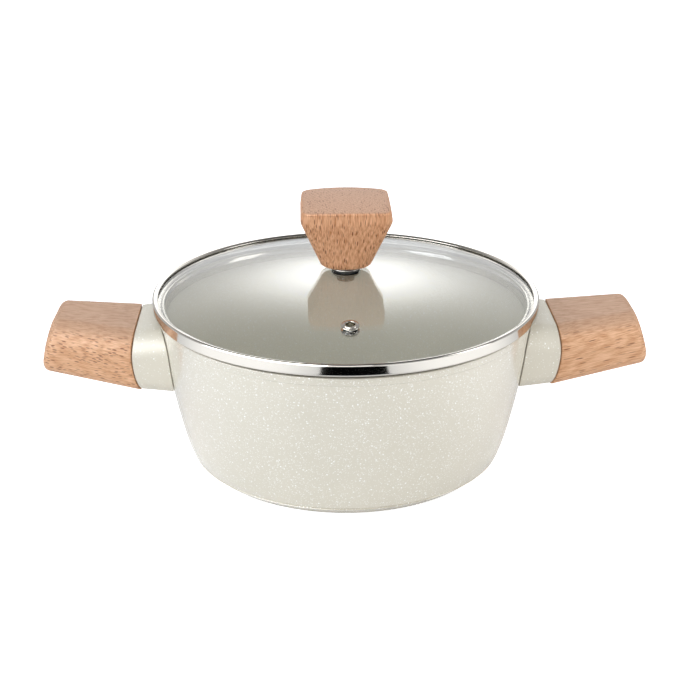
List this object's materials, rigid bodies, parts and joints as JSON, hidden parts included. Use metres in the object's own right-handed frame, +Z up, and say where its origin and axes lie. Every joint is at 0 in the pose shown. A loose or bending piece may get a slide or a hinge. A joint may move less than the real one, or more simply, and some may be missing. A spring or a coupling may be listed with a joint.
{
  "type": "casserole pot with glass lid",
  "caption": "Round speckle-coated casserole pot with beech side grips and a domed glass lid in a rolled steel band, with a steam vent and a tapered beech knob; the lid lifts off.",
  "frame": {"origin": "centre of the flat underside of the pot, on the surface it stands on", "axes": "+Z up through the knob, +X through the right handle, -Y to the front, where the steam vent is"},
  "size_m": [0.3258, 0.208, 0.1442],
  "materials": {
    "speckled_coating": "satin",
    "brushed_steel": "satin",
    "polished_steel": "polished",
    "beech": "matte",
    "glass": "gloss",
    "silicone": "matte",
    "brass": "satin"
  },
  "bodies": {
    "pot": {"pot_shell": "speckled_coating", "induction_disc": "brushed_steel", "right_handle_stud": "brushed_steel", "right_handle_bracket": "speckled_coating", "right_handle_grip": "beech", "right_handle_washer": "brushed_steel", "right_handle_bolt": "brushed_steel", "left_handle_stud": "brushed_steel", "left_handle_bracket": "speckled_coating", "left_handle_grip": "beech", "left_handle_washer": "brushed_steel", "left_handle_bolt": "brushed_steel"},
    "lid": {"lid_rim_band": "polished_steel", "lid_glass": "glass", "vent_gasket": "silicone", "vent_ring": "polished_steel", "vent_eyelet": "polished_steel", "knob_plate": "polished_steel", "knob_gasket": "silicone", "knob": "beech", "knob_insert": "brass", "lower_gasket": "silicone", "screw_washer": "brushed_steel", "knob_screw": "brushed_steel"}
  },
  "joints": [
    {"name": "lid_lift", "type": "slide", "parent": "pot", "child": "lid", "axis": [0, 0, 1], "range_m": [0, 0.15]}
  ]
}
